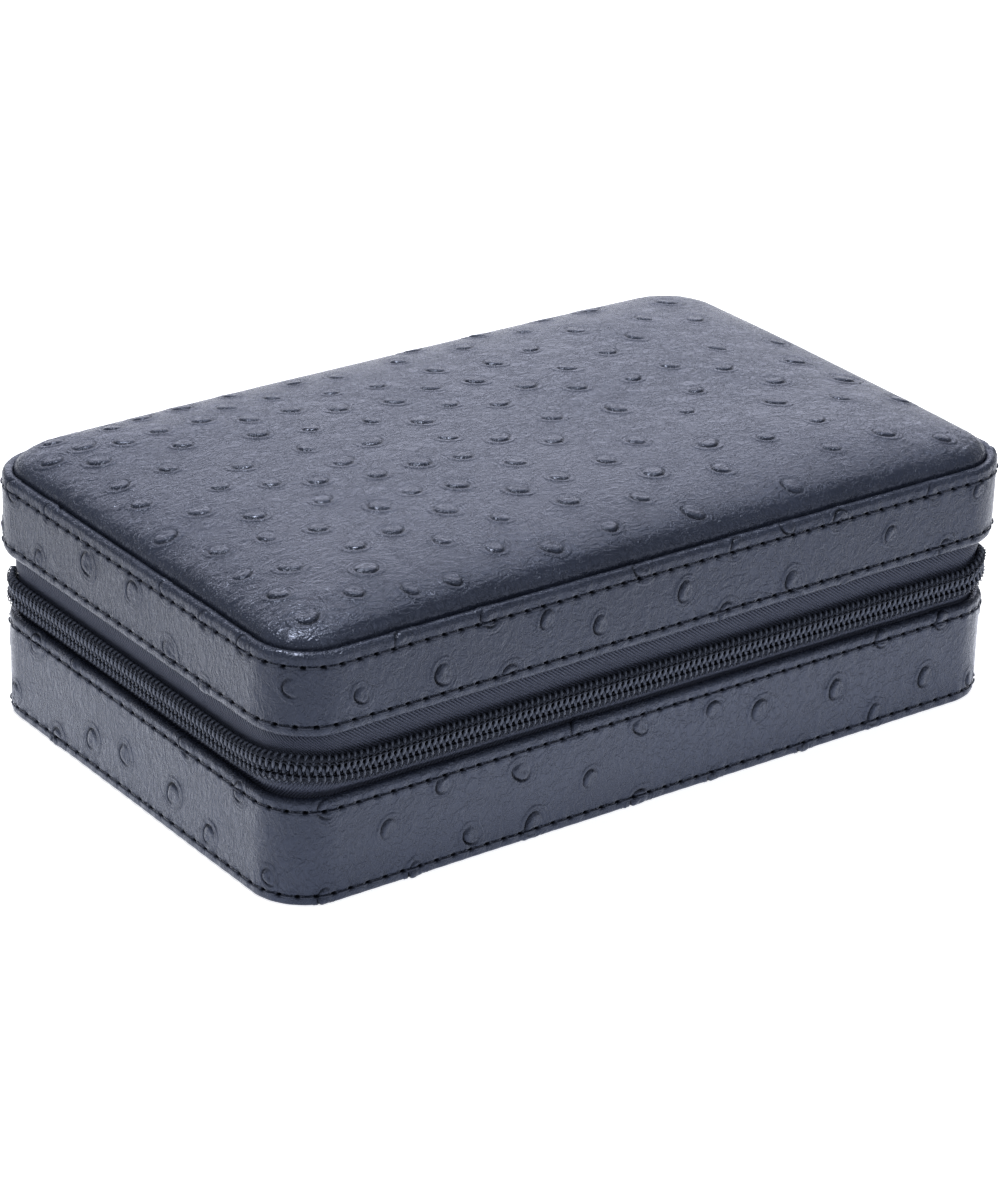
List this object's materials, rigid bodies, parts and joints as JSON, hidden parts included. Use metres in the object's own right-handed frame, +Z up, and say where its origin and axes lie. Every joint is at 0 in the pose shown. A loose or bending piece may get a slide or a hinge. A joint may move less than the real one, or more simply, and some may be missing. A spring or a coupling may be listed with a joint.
{
  "type": "jewellery case",
  "caption": "Leather zip-around travel jewellery case with a padded ostrich-grain lid, ring rolls and divided trays inside, and a mirror in the lid",
  "frame": {"origin": "middle of the underside, on the surface the case stands on", "axes": "+X along the case to the right, +Y to the hinge at the back, +Z up"},
  "size_m": [0.164, 0.1, 0.0541],
  "materials": {
    "board": "grey-brown book board",
    "band_leather": "dark blue-grey embossed quill grain, satin",
    "top_leather": "dark blue-grey embossed quill grain over padding, satin",
    "bottom_leather": "dark blue-grey leather, plain",
    "spine_leather": "dark blue-grey leather, plain",
    "lining": "microfibre suede",
    "divider_suede": "microfibre suede over board",
    "roll_suede": "microfibre suede over foam",
    "foam": "open foam padding",
    "zip_tape": "black woven twill tape",
    "zip_coil": "black nylon monofilament",
    "slider_metal": "black enamelled zinc casting",
    "pull_metal": "black enamelled zinc casting",
    "mirror": "silvered glass"
  },
  "bodies": {
    "base": {"base_board": "board", "base_band": "band_leather", "base_bottom_panel": "bottom_leather", "base_lining": "lining", "zip_tape_lower": "zip_tape", "zip_coil_lower": "zip_coil", "zip_stop_lower": "slider_metal", "divider_main": "divider_suede", "divider_cross": "divider_suede", "divider_short": "divider_suede", "ring_roll_1": "roll_suede", "ring_roll_2": "roll_suede", "ring_roll_3": "roll_suede", "ring_roll_4": "roll_suede", "ring_roll_5": "roll_suede", "hinge_spine": "spine_leather", "hinge_lining": "lining"},
    "lid": {"lid_board": "board", "lid_band": "band_leather", "lid_foam": "foam", "lid_top_panel": "top_leather", "lid_lining": "lining", "zip_tape_upper": "zip_tape", "zip_coil_upper": "zip_coil", "zip_stop_upper": "slider_metal", "mirror_frame": "divider_suede", "mirror_glass": "mirror"},
    "slider": {"slider_body": "slider_metal", "slider_bail": "slider_metal"},
    "pull": {"pull_tab": "pull_metal"}
  },
  "joints": [
    {"name": "lid_hinge", "type": "hinge", "parent": "base", "child": "lid", "pos_m": [0, 0.0471, 0.0244], "axis": [-1, 0, 0], "range_deg": [0, 115], "deforming": ["hinge_spine", "hinge_lining"]},
    {"name": "slider_travel", "type": "slide", "parent": "base", "child": "slider", "axis": [0, -1, 0], "range_m": [0, 0.063], "deforming": ["zip_coil_lower", "zip_coil_upper"]},
    {"name": "pull_swing", "type": "hinge", "parent": "slider", "child": "pull", "pos_m": [0.08202, 0.0315, 0.0244], "axis": [0, 0, 1], "range_deg": [0, 170]}
  ]
}
